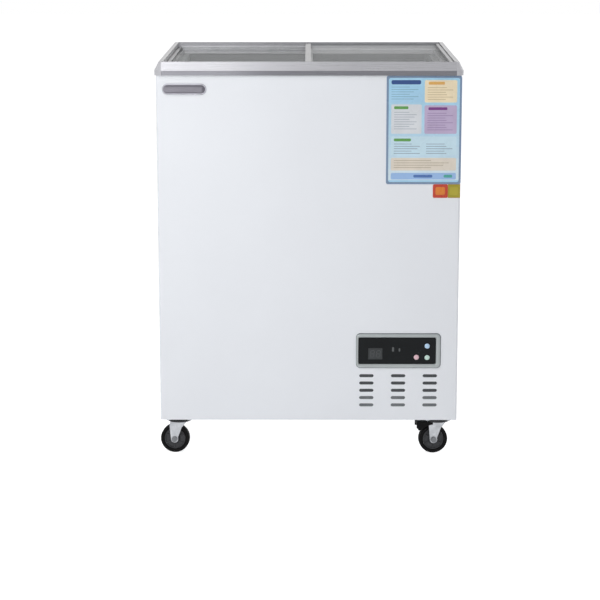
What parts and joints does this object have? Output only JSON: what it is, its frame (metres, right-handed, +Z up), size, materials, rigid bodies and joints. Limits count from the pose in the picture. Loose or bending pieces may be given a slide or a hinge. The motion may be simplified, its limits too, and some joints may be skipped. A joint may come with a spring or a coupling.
{
  "type": "display freezer",
  "caption": "White chest-type display freezer on swivel casters with two sliding glass lids in an aluminium top frame, front control panel and vent slots.",
  "frame": {"origin": "on the floor, under the middle of the top frame's outline", "axes": "+Z up, +X to the right seen from the front, front face towards -Y"},
  "size_m": [0.65, 0.56, 0.858],
  "materials": {
    "white_paint": "smooth white polyester paint on steel",
    "galvanised": "galvanised sheet",
    "foam": "polyurethane foam",
    "tank_sheet": "satin tank sheet",
    "white_plastic": "white moulded plastic",
    "anodised": "satin anodised",
    "cap_plastic": "light grey moulded plastic",
    "glass": "toughened glass",
    "trim": "satin anodised trim",
    "rubber": "black rubber",
    "silver_plastic": "silver-grey painted plastic",
    "black_gloss": "black glossy face",
    "display": "smoked display window",
    "button_blue": "pale blue button",
    "button_green": "pale green button",
    "button_pink": "pale pink button",
    "board": "circuit board",
    "dark_plastic": "dark moulded plastic",
    "badge_chrome": "plated badge",
    "sheet_print": "laminated printed sheet",
    "tab_print": "printed labels",
    "zinc": "zinc-plated steel",
    "black_enamel": "black stoved enamel",
    "fin_aluminium": "mill-finish aluminium",
    "copper": "drawn copper tube",
    "wheel_black": "black rubber wheel"
  },
  "bodies": {
    "root": {"outer_wrap": "white_paint", "back_panel": "galvanised", "base_pan": "galvanised", "foam_insulation": "foam", "inner_tank": "tank_sheet", "mouth_strip": "white_plastic", "front_rail": "anodised", "back_rail": "anodised", "left_rail": "anodised", "right_rail": "anodised", "corner_caps": "cap_plastic", "panel_bezel": "silver_plastic", "panel_face": "black_gloss", "display_window": "display", "control_board": "board", "panel_tub": "dark_plastic", "badge_plate": "badge_chrome", "info_sheet": "sheet_print", "colour_tabs": "tab_print", "bulkhead": "galvanised", "rear_grille": "galvanised", "grille_screws": "zinc", "cord_gland": "rubber", "compressor": "black_enamel", "compressor_feet": "black_enamel", "terminal_box": "dark_plastic", "condenser_fins": "fin_aluminium", "condenser_tubes": "copper", "fan_shroud": "dark_plastic", "fan_motor": "black_enamel", "refrigerant_pipes": "copper", "evaporator_tube": "fin_aluminium", "drain_fittings": "white_plastic", "caster_plates": "zinc", "king_pins": "zinc", "caster_screws": "zinc"},
    "left_lid": {"left_lid_glass": "glass", "left_lid_end_trim": "trim", "left_lid_inner_trim": "trim"},
    "right_lid": {"right_lid_glass": "glass", "right_lid_end_trim": "trim", "right_lid_inner_trim": "trim", "lid_wiper": "rubber"},
    "upper_button": {"upper_button": "button_blue"},
    "lower_right_button": {"lower_right_button": "button_green"},
    "lower_left_button": {"lower_left_button": "button_pink"},
    "fan": {"fan_rotor": "fin_aluminium"},
    "brake": {"brake_pedal": "wheel_black"},
    "front_left_swivel": {"front_left_fork": "zinc", "front_left_axle": "zinc"},
    "front_left_wheel": {"front_left_wheel": "wheel_black"},
    "front_right_swivel": {"front_right_fork": "zinc", "front_right_axle": "zinc"},
    "front_right_wheel": {"front_right_wheel": "wheel_black"},
    "rear_left_swivel": {"rear_left_fork": "zinc", "rear_left_axle": "zinc"},
    "rear_left_wheel": {"rear_left_wheel": "wheel_black"},
    "rear_right_swivel": {"rear_right_fork": "zinc", "rear_right_axle": "zinc"},
    "rear_right_wheel": {"rear_right_wheel": "wheel_black"}
  },
  "joints": [
    {"name": "left_lid_slide", "type": "slide", "parent": "root", "child": "left_lid", "axis": [1, 0, 0], "range_m": [0, 0.28]},
    {"name": "right_lid_slide", "type": "slide", "parent": "root", "child": "right_lid", "axis": [-1, 0, 0], "range_m": [0, 0.28]},
    {"name": "upper_button_press", "type": "slide", "parent": "root", "child": "upper_button", "axis": [0, 1, 0], "range_m": [0, 0.0012], "stiffness_N_per_m": 400, "springref_m": -0.0005},
    {"name": "lower_right_button_press", "type": "slide", "parent": "root", "child": "lower_right_button", "axis": [0, 1, 0], "range_m": [0, 0.0012], "stiffness_N_per_m": 400, "springref_m": -0.0005},
    {"name": "lower_left_button_press", "type": "slide", "parent": "root", "child": "lower_left_button", "axis": [0, 1, 0], "range_m": [0, 0.0012], "stiffness_N_per_m": 400, "springref_m": -0.0005},
    {"name": "fan_spin", "type": "hinge", "parent": "root", "child": "fan", "pos_m": [0.1959, -0.1545, 0.183], "axis": [0, 1, 0], "continuous": true},
    {"name": "front_left_swivel_turn", "type": "hinge", "parent": "root", "child": "front_left_swivel", "pos_m": [-0.2825, -0.2315, 0.075], "axis": [0, 0, 1], "continuous": true},
    {"name": "front_left_wheel_roll", "type": "hinge", "parent": "front_left_swivel", "child": "front_left_wheel", "pos_m": [-0.29246, -0.23063, 0.0315], "axis": [0.0872, 0.9962, 0], "continuous": true},
    {"name": "front_right_swivel_turn", "type": "hinge", "parent": "root", "child": "front_right_swivel", "pos_m": [0.2825, -0.2315, 0.075], "axis": [0, 0, 1], "continuous": true},
    {"name": "front_right_wheel_roll", "type": "hinge", "parent": "front_right_swivel", "child": "front_right_wheel", "pos_m": [0.27254, -0.23237, 0.0315], "axis": [-0.0872, 0.9962, 0], "continuous": true},
    {"name": "rear_left_swivel_turn", "type": "hinge", "parent": "root", "child": "rear_left_swivel", "pos_m": [-0.2825, 0.2315, 0.075], "axis": [0, 0, 1], "continuous": true},
    {"name": "rear_left_wheel_roll", "type": "hinge", "parent": "rear_left_swivel", "child": "rear_left_wheel", "pos_m": [-0.2925, 0.2315, 0.0315], "axis": [0, 1, 0], "continuous": true},
    {"name": "rear_right_swivel_turn", "type": "hinge", "parent": "root", "child": "rear_right_swivel", "pos_m": [0.2825, 0.2315, 0.075], "axis": [0, 0, 1], "continuous": true},
    {"name": "rear_right_wheel_roll", "type": "hinge", "parent": "rear_right_swivel", "child": "rear_right_wheel", "pos_m": [0.2725, 0.2315, 0.0315], "axis": [0, 1, 0], "continuous": true},
    {"name": "brake_press", "type": "hinge", "parent": "front_right_swivel", "child": "brake", "pos_m": [0.26556, -0.23298, 0.0685], "axis": [0.0872, -0.9962, 0], "range_deg": [0, 6]}
  ]
}
